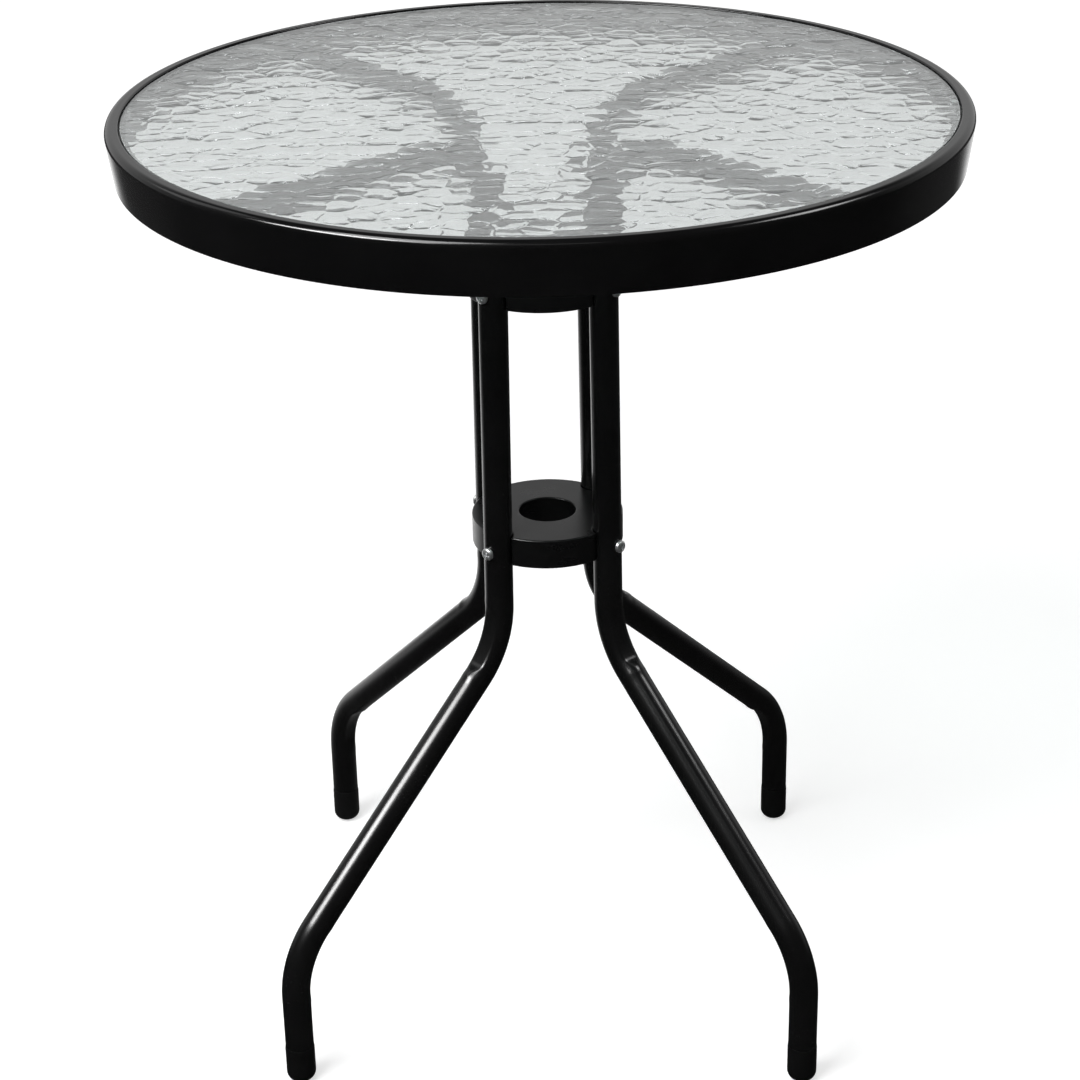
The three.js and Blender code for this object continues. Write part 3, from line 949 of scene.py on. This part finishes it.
@dataclass
class Legs:
    """The four bent tubes."""

    finish: Finish
    bend_radii: tuple[float, float, float] = (69.0, 71.0, 61.0)
    sides: int = 48
    foot_start: float = 6.3
    flattening: float = 2.2
    bulge: float = 0.4
    softness: float = 0.0012
    crease: float = 50.0

    def build(self) -> None:
        """Makes one tube for each place."""
        recipe = self.tube_recipe()
        values = {
            "Radius": SIZES.tube_radius * MM,
            "Sides": self.sides,
            "Flattening": self.flattening * MM,
            "Bulge": self.bulge * MM,
            "Material": self.finish.material(),
        }
        for place in Place:
            azimuth = {"Azimuth": SIZES.azimuth(place)}
            tube = recipe.make(f"tube_{place.label}", self.route_mesh(), {**values, **azimuth})
            shade(tube.data, self.crease)
            dressed(tube, None, "leg_paint", f"leg_{place.label}")

    def route_mesh(self) -> Mesh:
        """The tube's route as a chain of edges.

        Returns:
            The chain, with each point's place, side, press and bulge as attributes.
        """
        s = SIZES
        corners = [
            Vector((s.foot_reach, self.foot_start)),
            Vector((s.foot_reach, s.knee_height)),
            Vector((s.hip_reach, s.hip_height)),
            Vector((s.post_top_reach, s.arm_height)),
            Vector((s.arm_end_reach, s.arm_height)),
        ]
        route = Route([])
        here = corners[0]
        for i, radius in enumerate(self.bend_radii, start=1):
            come = (corners[i] - corners[i - 1]).normalized()
            go = (corners[i + 1] - corners[i]).normalized()
            turn = come.angle(go)
            start = corners[i] - come * radius * math.tan(turn / 2)
            side = (go - come * math.cos(turn)).normalized()
            route.straight(here, start, side)
            route.bend(start, come, side, radius, turn)
            here = corners[i] + go * radius * math.tan(turn / 2)
        route.straight(here, corners[-1], route.rows[-1][1])
        points = np.array([(p.x, s.plane_offset, p.y) for p, _, _, _ in route.rows])
        chain = [(i, i + 1) for i in range(len(points) - 1)]
        mesh = mesh_of("tube_route", points, edges=chain)
        store(mesh, "middle", points * MM)
        store(mesh, "inward", [(v.x, 0.0, v.y) for _, v, _, _ in route.rows])
        store(mesh, "flat", [row[2] for row in route.rows])
        store(mesh, "bulge", [row[3] for row in route.rows])
        return mesh

    def tube_recipe(self) -> Recipe:
        """The tree that draws a tube along the route and presses its bends.

        Returns:
            The tree, whose inputs are the tube's sizes, its azimuth and its material.
        """
        numbers = dict.fromkeys(("Radius", "Flattening", "Bulge", "Azimuth"), "Float")
        g = Recipe("bent_tube", {**numbers, "Sides": "Int", "Material": "Material"})
        radius = g.value(g.given["Radius"])
        line = g.node("GeometryNodeMeshToCurve", {"Mesh": g.given["Geometry"]})
        circle = {"Resolution": g.given["Sides"], "Radius": radius}
        section = g.node("GeometryNodeCurvePrimitiveCircle", circle)
        sockets = {"Curve": line, "Profile Curve": section, "Fill Caps": True}
        tube = g.node("GeometryNodeCurveToMesh", sockets)
        inward = g.attribute("inward", "FLOAT_VECTOR")
        place = g.node("GeometryNodeInputPosition")
        out = g.vector("SUBTRACT", place, g.attribute("middle", "FLOAT_VECTOR"))
        depth = g.value(g.vector("DOT_PRODUCT", out, inward).outputs[1])
        flat = g.value(g.attribute("flat"))
        limit = radius - g.value(g.given["Flattening"]) * flat
        pressed = g.math("SMOOTH_MIN", depth, limit, flat * self.softness)
        swell = (depth / radius).at_least(0.0) * g.value(g.attribute("bulge"))
        shift = pressed - depth + swell * g.value(g.given["Bulge"])
        moved = g.node("GeometryNodeSetPosition", {"Geometry": tube, "Offset": g.scaled(inward, shift)})
        turn = g.node("ShaderNodeCombineXYZ", {"Z": g.given["Azimuth"]})
        g.end(g.node("GeometryNodeTransform", {"Geometry": moved, "Rotation": turn}))
        return g


@dataclass
class FootCaps:
    """The domed caps that the legs stand on."""

    finish: Finish
    radius: float = 10.85
    bore: float = 10.55
    height: float = 30.0
    flat: float = 3.5
    floor: float = 6.0
    middle: float = 2.1
    lip: float = 2.5
    lip_taper: float = 0.22
    segments: int = 64

    def profile(self) -> list[Point]:
        """The cap's section, from the middle of its floor, over the dome, to its bore."""
        wide = self.radius - self.flat
        dome = arc((self.flat, wide), wide, -90, 0, 15)
        wall = [(self.radius, self.height - self.lip), (self.radius - self.lip_taper, self.height)]
        bore = [(self.bore, self.height), (self.bore, self.floor + 0.4), (self.bore - 0.4, self.floor)]
        return [(self.middle, 0.0), *dome, *wall, *bore, (self.middle, self.floor)]

    def build(self) -> None:
        """Makes one cap for each place."""
        material = self.finish.material()
        out = Matrix.Translation((SIZES.foot_reach, SIZES.plane_offset, 0))
        for place in Place:
            cap = Shell().capped_skin(rings(self.profile(), self.segments))
            cap.moved(Matrix.Rotation(SIZES.azimuth(place), 4, "Z") @ out)
            dressed(cap.piece(f"cap_{place.label}"), material, "cap_plastic", f"foot_cap_{place.label}")


@dataclass
class Discs:
    """The two moulded discs with the umbrella hole."""

    finish: Finish
    radius: float = 56.2
    hole: float = 21.1
    plate: float = 3.0
    wall: float = 2.5
    edge_round: float = 1.2
    hole_round: float = 1.0
    corner_round: float = 1.6
    inner_corner_round: float = 0.8
    boss_width: float = 14.0
    rib: float = 2.2

    def build(self) -> None:
        """Makes both discs."""
        material = self.finish.material()
        for level in Level:
            seat = SIZES.seat(level)
            shell = self.body(seat).joined(self.ribs(seat))
            turn = Matrix.Rotation(SIZES.plane_azimuth + seat.turn, 4, "Z")
            shell.moved(Matrix.Translation((0, 0, seat.middle)) @ turn)
            dressed(shell.piece(f"{level.value}_moulding"), material, "disc_plastic", level.value)

    @staticmethod
    def outline(seat: Seat, radius: float, recess: float, corner: float) -> np.ndarray:
        """A disc's outline with a recess for each post, its corners rounded.

        Args:
            seat: where the posts stand.
            radius: the disc's radius.
            recess: the recesses' radius.
            corner: the rounding between disc and recess.

        Returns:
            The outline's points, with the posts on the X and Y axes.
        """
        near, far = radius - corner, recess + corner
        angle = math.acos((near**2 + seat.distance**2 - far**2) / (2 * near * seat.distance))
        centre = (near * math.cos(angle), near * math.sin(angle))
        heading = math.degrees(math.atan2(-centre[1], seat.distance - centre[0])) % 360
        out = math.degrees(angle)
        half = arc((0, 0), radius, 45, out, 24)
        half += arc(centre, corner, out, heading - 360, 8)[1:]
        half += arc((seat.distance, 0.0), recess, heading - 180, 180, 20)[1:]
        upper = np.array(half)
        quarter = np.concatenate([(upper * (1, -1))[:-1], upper[:0:-1]])
        quarter_turn = np.array([[0.0, -1.0], [1.0, 0.0]])
        turns = [np.linalg.matrix_power(quarter_turn, k) for k in range(4)]
        return np.concatenate([quarter @ turn.T for turn in turns])

    def body(self, seat: Seat) -> Shell:
        """The plate with its outer wall and the collar round the hole, as one skin.

        Args:
            seat: how the disc holds its posts.

        Returns:
            The skin, its middle at the origin and its recesses on the X and Y axes.
        """
        half = SIZES.disc_thickness / 2
        outer = self.outline(seat, self.radius, SIZES.recess, self.corner_round)
        inner_recess = SIZES.recess + self.wall
        inner = self.outline(seat, self.radius - self.wall, inner_recess, self.inner_corner_round)
        out, into = self.normals(outer), self.normals(inner)
        angles = np.arctan2(outer[:, 1], outer[:, 0])
        ray = np.column_stack([np.cos(angles), np.sin(angles)])
        floor = half - self.plate
        collar = self.hole + self.wall
        edge = [(0.5, -half), (0.1, -half + 0.15), (0.0, -half + 0.5)]
        edge += arc((self.edge_round, half - self.edge_round), self.edge_round, 180, 90, 5)
        lip = arc((self.hole + self.hole_round, half - self.hole_round), self.hole_round, 90, 180, 5)
        lip += [(self.hole, -half + 0.4), (self.hole + 0.4, -half)]
        lip += [(collar - 0.4, -half), (collar, -half + 0.4), (collar, floor - 0.8), (collar + 0.8, floor)]
        wall = [(0.6, floor), (0.0, floor - 0.6), (0.0, -half + 0.3), (-0.3, -half)]
        flat = [(outer - out * inset, height) for inset, height in edge]
        flat += [(ray * radius, height) for radius, height in lip]
        flat += [(inner - into * inset, height) for inset, height in wall]
        return Shell().ring_skin([np.column_stack([loop, np.full(len(loop), z)]) for loop, z in flat])

    @staticmethod
    def normals(outline: np.ndarray) -> np.ndarray:
        """The outward normal at each point of a closed outline that runs anticlockwise."""
        along = np.roll(outline, -1, axis=0) - np.roll(outline, 1, axis=0)
        along /= np.linalg.norm(along, axis=1)[:, None]
        return np.column_stack([along[:, 1], -along[:, 0]])

    def ribs(self, seat: Seat) -> Shell:
        """The ribs between collar and wall, and the bosses behind the recesses."""
        half = SIZES.disc_thickness / 2
        low, high = -half + 1.0, half - self.plate + 0.5
        boss_end = seat.distance - SIZES.recess
        shell = Shell()
        for k in range(4):
            turn = Matrix.Rotation(QUARTER * k, 4, "Z")
            rib = self.drafted(self.hole + 1, self.radius - 1, self.rib, low, high)
            shell.joined(rib.moved(turn @ Matrix.Rotation(TURN / 8, 4, "Z")))
            boss = self.drafted(boss_end - SIZES.boss_depth, boss_end + 1.0, self.boss_width, low - 0.6, high)
            shell.joined(boss.moved(turn))
        return shell

    @staticmethod
    def drafted(near: float, far: float, width: float, low: float, high: float) -> Shell:
        """A drafted block along X, a little narrower at its lower end."""
        halves = [width / 2 - slim for slim in (0.35, 0.1, 0.0)]
        return block(
            lambda k: [(near, -halves[k]), (far, -halves[k]), (far, halves[k]), (near, halves[k])],
            (low, low + 0.3, high),
        )


@dataclass
class Fasteners:
    """The pan-head screws and nuts that hold the posts to the discs and the arms to the rim."""

    finish: Finish
    shank: float = 2.5
    head: float = 4.7
    head_height: float = 3.4
    nut_corner: float = 4.62
    nut_thickness: float = 4.0
    nut_bore: float = 2.45
    nut_segments: int = 48
    past_nut: float = 1.8
    pitch: float = 0.8
    thread_depth: float = 0.32
    threaded: float = 9.0
    plain: float = 1.2
    tip: float = 0.7
    tip_inset: float = 0.6
    arm_inset: float = 22.0
    arm_shank: float = 7.0
    # How fasteners are turned about their own axes: the first one's turn, and what each next one
    # has on top, in degrees.
    screw_turns: Point = (20.0, 25.0)
    nut_turns: Point = (20.0, 0.0)
    arm_turns: Point = (15.0, 35.0)

    def screw(self, length: float) -> Object:
        """A screw along Z, its head's seat at height 0 and its head, with a cross recess, above.

        Args:
            length: how long its shank is, in millimetres.

        Returns:
            The screw, as an object of its own.
        """
        r, h, shank = self.head, self.head_height, self.shank
        z = -length + self.tip
        profile = [(0.6, -length), (shank - self.tip_inset, -length), (shank, z)]
        while z < min(-self.plain, -length + self.threaded):
            profile += [(shank - self.thread_depth, z + self.pitch / 2), (shank, z + self.pitch)]
            z += self.pitch
        profile += [(shank, -0.1), (shank, 0), (r - 0.25, 0), (r, 0.25), (r, h * 0.42)]
        for k in range(1, 8):
            a = math.radians(k * 11.5)
            profile.append((r * (0.12 + 0.88 * math.cos(a) ** 0.8), h * (0.42 + 0.58 * math.sin(a))))
        profile.append((0.5, h))
        body = Shell().capped_skin(rings(profile, 40)).piece("screw_shape")
        for turn in (0.0, QUARTER):
            cutter = self.wing(turn)
            cut = body.modifiers.new("recess", "BOOLEAN")
            cut.operation, cut.solver, cut.object = "DIFFERENCE", "EXACT", cutter
            mesh = evaluated(body)
            body.modifiers.remove(cut)
            body.data = mesh
            bpy.data.objects.remove(cutter)
        shade(body.data, Shell.crease)
        return body

    def wing(self, turn: float) -> Object:
        """One wing of the cross recess, tapering towards its bottom."""
        sizes = ((2.3, 0.6, 0.35), (1.9, 1.7, 0.55), (-0.6, 3.0, 0.85))
        signs = ((-1, -1), (1, -1), (1, 1), (-1, 1))
        shell = block(
            lambda k: [(x * sizes[k][1], y * sizes[k][2]) for x, y in signs],
            [self.head_height - depth for depth, _, _ in sizes],
        )
        return shell.moved(Matrix.Rotation(turn, 4, "Z")).piece("recess_wing")

    def nut(self) -> Object:
        """A hexagon nut along Z, its seat at height 0, below it the chamfered body."""
        count = self.nut_segments
        angles = np.arange(count) * TURN / count
        flat = self.nut_corner * math.cos(TURN / 12)
        hexagon = flat / np.cos((angles + TURN / 12) % (TURN / 6) - TURN / 12)
        worn = np.minimum(hexagon, self.nut_corner * 0.93) - 0.1
        bore, flare = np.full(count, self.nut_bore), np.full(count, self.nut_bore + 0.35)
        t = self.nut_thickness
        stack = [(bore, -t + 0.35), (flare, -t), (worn, -t), (hexagon, -t + 0.45)]
        stack += [(hexagon, -0.45), (worn, 0), (flare, 0), (bore, -0.35)]
        x, y = np.cos(angles), np.sin(angles)
        loops = [np.column_stack([r * x, r * y, np.full(count, z)]) for r, z in stack]
        return Shell().ring_skin(loops).piece("nut_shape")

    def build(self) -> None:
        """Makes the screws and nuts of both discs, and the arms' screws."""
        material = self.finish.material()
        s = SIZES

        def lay(name: str, shape: Object, spots: list[tuple[Vector, Matrix]]) -> None:
            """Sets out one kind of fastener, a copy for each place."""
            nodes = [f"{name[:-1]}_{place.label}" for place in Place]
            dressed(set_out(name, shape, spots, material), None, "zinc", *nodes)

        outward = Matrix.Rotation(QUARTER, 3, "Y")
        for level in Level:
            seat = s.seat(level)
            head_seat = seat.distance + s.recess
            nut_seat = seat.distance - s.recess - s.boss_depth - s.gap
            length = head_seat - nut_seat + self.nut_thickness + self.past_nut
            label = level.value
            spots = self.spots(Vector((head_seat, 0, seat.middle)), seat.turn, outward, self.screw_turns)
            lay(f"{label}_screws", self.screw(length), spots)
            spots = self.spots(Vector((nut_seat, 0, seat.middle)), seat.turn, outward, self.nut_turns)
            lay(f"{label}_nuts", self.nut(), spots)
        under = Vector((s.arm_end_reach - self.arm_inset, s.plane_offset, s.arm_height - s.recess))
        spots = self.spots(under, 0.0, Matrix.Rotation(math.pi, 3, "Y"), self.arm_turns)
        lay("arm_screws", self.screw(self.arm_shank), spots)

    @staticmethod
    def spots(first: Vector, turn: float, tilt: Matrix, turns: Point) -> list[tuple[Vector, Matrix]]:
        """Where the fasteners of one kind stand, one for each place.

        Args:
            first: a fastener's place before it is turned round the table, in millimetres.
            turn: how far they stand past the legs' planes.
            tilt: how a fastener is turned to face out or down.
            turns: the first one's turn about its own axis, and what each next one has on top.

        Returns:
            Each one's place and turn.
        """
        found = []
        for place in Place:
            round_table = Matrix.Rotation(SIZES.azimuth(place) + turn, 3, "Z")
            own = Matrix.Rotation(math.radians(turns[0] + turns[1] * place.value), 3, "Z")
            found.append((round_table @ first, round_table @ tilt @ own))
        return found


@dataclass
class Spigots:
    """The flanged spigots inside the rim, each with its weld bead."""

    finish: Finish
    stub: float = 8.6
    stub_length: float = 42.0
    flange: float = 10.5
    bead: float = 1.1
    bead_steps: int = 10
    segments: int = 72

    def build(self) -> None:
        """Makes one spigot for each place."""
        material = self.finish.material()
        for place in Place:
            shell = self.shape().moved(Matrix.Rotation(SIZES.azimuth(place), 4, "Z"))
            dressed(shell.piece(f"spigot_{place.label}"), material, "rim_paint", f"rim_spigot_{place.label}")

    def shape(self) -> Shell:
        """Stub and flange as one skin, whose far face follows the skirt, and the bead round it.

        Returns:
            The shell, with the arm's axis along X.
        """
        s = SIZES
        angles = np.arange(self.segments) * TURN / self.segments

        def across(radius: float | np.ndarray, along: float) -> np.ndarray:
            """A loop round the arm's axis, along millimetres past its end."""
            reach = np.full(self.segments, s.arm_end_reach + along)
            side = s.plane_offset + radius * np.cos(angles)
            return np.column_stack([reach, side, s.arm_height + radius * np.sin(angles)])

        def on_skirt(radius: float | np.ndarray, short: float) -> np.ndarray:
            """A loop round the axis, short of the skirt's inner face."""
            loop = across(radius, 0)
            height = np.minimum(loop[:, 2], s.height - s.corner_radius)
            loop[:, 0] = np.sqrt((s.skirt_inner_radius(height) - short) ** 2 - loop[:, 1] ** 2)
            return loop

        loops = [across(self.stub, -self.stub_length), across(self.stub, s.gap)]
        loops += [across(self.flange - 0.3, s.gap), across(self.flange, s.gap + 0.3)]
        loops.append(on_skirt(self.flange, 0.2))
        size = self.bead * (1 + 0.08 * np.sin(angles * 23) + 0.06 * np.sin(angles * 9 + 1))
        bead = []
        for k in range(self.bead_steps):
            a = TURN * k / self.bead_steps
            loop = on_skirt(self.flange + 0.3 + size * math.cos(a), 0.0)
            loop[:, 0] += -0.3 - size * math.sin(a) - size * 0.4
            bead.append(loop)
        return Shell().capped_skin(loops).ring_skin(bead)


# --------------------------------------------------------------------------- studio


@dataclass(frozen=True)
class Softbox:
    """A soft lamp: where it stands as seen from the table, its size and its brightness.

    One that doesn't spread is seen in glossy surfaces only.
    """

    name: str
    azimuth: float
    elevation: float
    distance: float
    width: float
    height: float
    radiance: float
    spreads: bool = True

    def build(self, target: Vector) -> None:
        """Makes the lamp, facing the target."""
        data = bpy.data.lights.new(self.name, "AREA")
        data.shape = "RECTANGLE"
        data.size, data.size_y = self.width, self.height
        data.energy = self.radiance * math.pi * self.width * self.height
        a, e = math.radians(self.azimuth), math.radians(self.elevation)
        away = Vector((math.sin(a) * math.cos(e), math.cos(a) * math.cos(e), math.sin(e)))
        lamp = place_object(self.name, data)
        lamp.location = target + away * self.distance
        lamp.rotation_euler = away.to_track_quat("Z", "Y").to_euler()
        lamp.visible_camera = False
        lamp.visible_transmission = False
        lamp.visible_diffuse = self.spreads


@dataclass
class Studio:
    """Camera, lamps, pale floor and the surroundings that the metal and the glass show."""

    camera_place: tuple[float, float, float] = (0.05285, -1.76375, 1.18681)
    look: tuple[float, float, float] = (-0.03015, 0.90375, -0.42699)
    right: tuple[float, float, float] = (0.99952, 0.02433, -0.01908)
    lens: float = 86.78
    sensor: float = 36.0
    clip: Point = (0.05, 100.0)
    floor_half: float = 8000.0
    floor_drop: float = 0.3
    near_glow: float = 0.55
    far_glow: float = 0.76
    metal_share: float = 0.58
    fill: float = 0.35
    # What mirrors see: the dark front, and the floor's dark part, its light parts and its back.
    front_dark: float = 0.06
    floor_dark: float = 0.02
    floor_light: float = 1.2
    floor_back: float = 0.035
    target: tuple[float, float, float] = (0.0, 0.0, 0.45)
    lamps: tuple[Softbox, ...] = (
        Softbox("key_left", -135, 50, 2.4, 1.3, 1.3, 9.0),
        Softbox("sheen_left", -135, 50, 2.3, 1.1, 1.1, 2.0, spreads=False),
        Softbox("strip_left", -124, 41, 2.3, 1.25, 0.34, 31.0, spreads=False),
        Softbox("strip_front", -170, 47, 2.4, 1.7, 0.30, 0.8, spreads=False),
        Softbox("glow_left", -72, 40, 2.4, 0.8, 1.0, 1.0, spreads=False),
        Softbox("fill_right", 88, 44, 2.2, 0.6, 0.6, 2.0),
        Softbox("sheen_right", 92, 50, 2.1, 0.6, 0.6, 9.0, spreads=False),
    )

    def build(self) -> None:
        """Makes everything that isn't the table."""
        self.build_camera()
        self.build_world()
        self.build_floor()
        for lamp in self.lamps:
            lamp.build(Vector(self.target))
        bpy.context.scene.view_settings.view_transform = "Standard"

    def build_camera(self) -> None:
        """Makes the camera that the photograph was taken from."""
        data = bpy.data.cameras.new("camera")
        data.sensor_width = self.sensor
        data.lens = self.lens
        data.clip_start, data.clip_end = self.clip
        forward = Vector(self.look).normalized()
        side = Vector(self.right)
        side = (side - forward * side.dot(forward)).normalized()
        turn = Matrix((side, side.cross(forward), -forward)).transposed().to_4x4()
        camera = place_object("camera", data)
        camera.matrix_world = Matrix.Translation(self.camera_place) @ turn
        bpy.context.scene.camera = camera

    @staticmethod
    def seen(g: Graph) -> tuple[Value, Value, Value, Value]:
        """How much a ray sees the plain background, is a reflection, or spreads light.

        Args:
            g: the tree that asks.

        Returns:
            1 for a ray from the camera, or less where it comes through glass; 1 for a mirrored
            ray; 1 for a ray that was mirrored inside the glass before it left; 1 for a diffuse ray.
        """
        path = g.node("ShaderNodeLightPath").outputs
        passed = g.value(path["Is Transmission Ray"])
        through = passed * (1 - g.value(path["Glossy Depth"])).at_least(0.0)
        camera = g.value(path["Is Camera Ray"])
        mirrored = g.value(path["Is Glossy Ray"]).at_least(passed) - through
        diffuse = g.value(path["Is Diffuse Ray"])
        return camera + through * THROUGH_GLASS, mirrored, passed - through, diffuse

    def build_world(self) -> None:
        """Makes the surroundings: white to the eye, a lit back wall and a dark front in mirrors."""
        world = bpy.data.worlds.new("studio")
        bpy.context.scene.world = world
        world.use_nodes = True
        g = Graph(world.node_tree)
        plain, mirrored, inside, diffuse = self.seen(g)
        _, behind, up = g.axes(g.node("ShaderNodeTexCoord").outputs["Generated"])
        # The wall behind the table is lit, and fades towards the ceiling.
        mirror = self.front_dark + behind.ramp(-0.1, 0.85) * (1 - up.ramp(0.38, 0.66))
        share = self.metal_share + inside * (1 - self.metal_share)
        colour = plain + mirrored * mirror * share + diffuse * self.fill
        g.node("ShaderNodeOutputWorld", {"Surface": g.node("ShaderNodeBackground", {"Color": colour})})

    def build_floor(self) -> None:
        """Makes the pale floor, which keeps the table's shadow.

        Mirrors see it dark but for a lit patch on the left and a far strip that edges the rim.
        """
        half = self.floor_half
        corners = [(x * half, y * half, -self.floor_drop) for x, y in ((-1, -1), (1, -1), (1, 1), (-1, 1))]
        mesh = mesh_of("floor", corners, [(0, 1, 2, 3)])
        s = Surface("pale_floor")
        plain, mirrored, inside, _ = self.seen(s)
        across, behind, _ = s.axes(s.place)
        back = behind.ramp(0.1, 0.7)
        # A patch on the left, for the left slopes' highlights, which is weaker far behind.
        left = across.ramp(-1.3, -0.7) * (1 - across.ramp(-0.25, 0.05))
        left = left * (1 - behind.ramp(1.3, 2.0) * 0.75)
        # A strip far behind, not too far to the sides, for the light edges at the skirt's two ends.
        near = 1 - (across * across).ramp(0.5, 2.5)
        strip = near * near * behind.ramp(1.4, 1.9)
        light = left * self.floor_light + strip * self.floor_light + self.floor_back
        mirror = self.floor_dark + back * light + inside * THROUGH_GLASS
        mottle = s.mix(s.noise(400), (0.80, 0.80, 0.80), (0.82, 0.82, 0.82))
        paint = s.node("ShaderNodeBsdfDiffuse", {"Color": mottle})
        away = s.value(s.vector("LENGTH", s.place).outputs[1])
        fade = away.ramp(0.7, 3.0, self.near_glow, self.far_glow)
        glow = s.node("ShaderNodeEmission", {"Color": plain * fade})
        lit = s.node("ShaderNodeAddShader", {0: paint, 1: glow})
        sheen = s.node("ShaderNodeEmission", {"Color": mirror})
        mesh.materials.append(s.finish(s.blend(mirrored, lit, sheen)))
        place_object("floor", mesh)


# --------------------------------------------------------------------------- main


def main() -> None:
    """Builds the studio and the table."""
    logging.basicConfig(level=logging.INFO, format="%(name)s: %(message)s")
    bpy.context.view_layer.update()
    Studio().build()
    rim_coat = PowderCoat("rim_powder_coat", 0.15, gloss=0.38)
    cap_blacks = ((0.0024, 0.0024, 0.0026), (0.0044, 0.0044, 0.0046))
    disc_blacks = ((0.0030, 0.0030, 0.0032), (0.0060, 0.0060, 0.0063))
    for assembly in (
        Rim(rim_coat),
        GlassTop(ClearGlass("ripple_glass"), ClearPad("clear_pad")),
        Legs(PowderCoat("leg_powder_coat", 0.24)),
        FootCaps(MouldedPlastic("cap_plastic", 0.40, 0.008, *cap_blacks)),
        Discs(MouldedPlastic("disc_plastic", 0.29, 0.005, *disc_blacks)),
        Fasteners(ZincPlate("zinc_plate")),
        Spigots(rim_coat),
    ):
        assembly.build()


if __name__ == "__main__":
    main()
